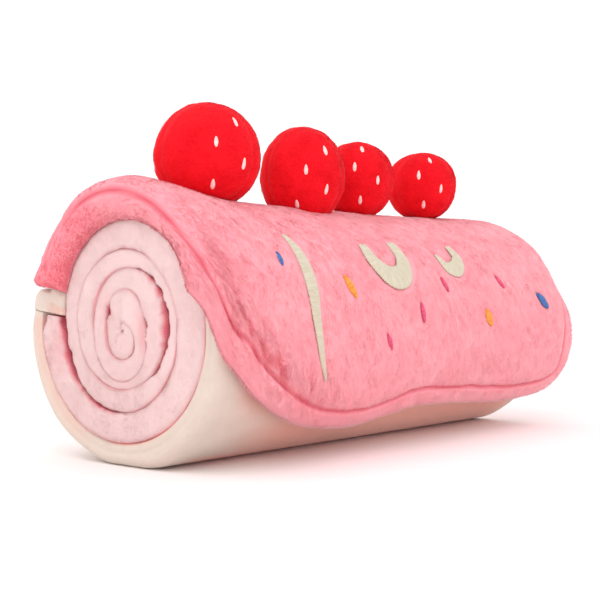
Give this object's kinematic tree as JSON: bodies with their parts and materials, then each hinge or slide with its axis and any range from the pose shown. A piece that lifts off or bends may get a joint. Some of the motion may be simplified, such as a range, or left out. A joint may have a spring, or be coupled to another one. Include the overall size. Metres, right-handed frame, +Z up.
{
  "type": "plush toy swiss roll cake",
  "caption": "Stuffed plush swiss roll with a coiled fleece filling, a cream cover and a pink frosting flap topped with strawberries.",
  "frame": {"origin": "on the floor, under the middle of the whole toy", "axes": "+X runs along the roll away from the coiled end that shows, +Z is up, and -Y is the side that the frosting hangs down"},
  "size_m": [0.2578, 0.1152, 0.1367],
  "materials": {
    "fleece_mat": "pale pink fleece with a short soft pile",
    "cream_velvet": "cream short-pile velvet",
    "frosting_plush": "pink plush with a brushed pile, topstitched hem, satin-stitch piping and sprinkles",
    "strawberry_plush": "bright red short plush with white embroidered seeds"
  },
  "bodies": {
    "root": {"rolled_mat": "fleece_mat", "sponge_cover": "cream_velvet", "frosting_flap": "frosting_plush", "strawberry_1": "strawberry_plush", "strawberry_2": "strawberry_plush", "strawberry_3": "strawberry_plush", "strawberry_4": "strawberry_plush"}
  },
  "joints": []
}
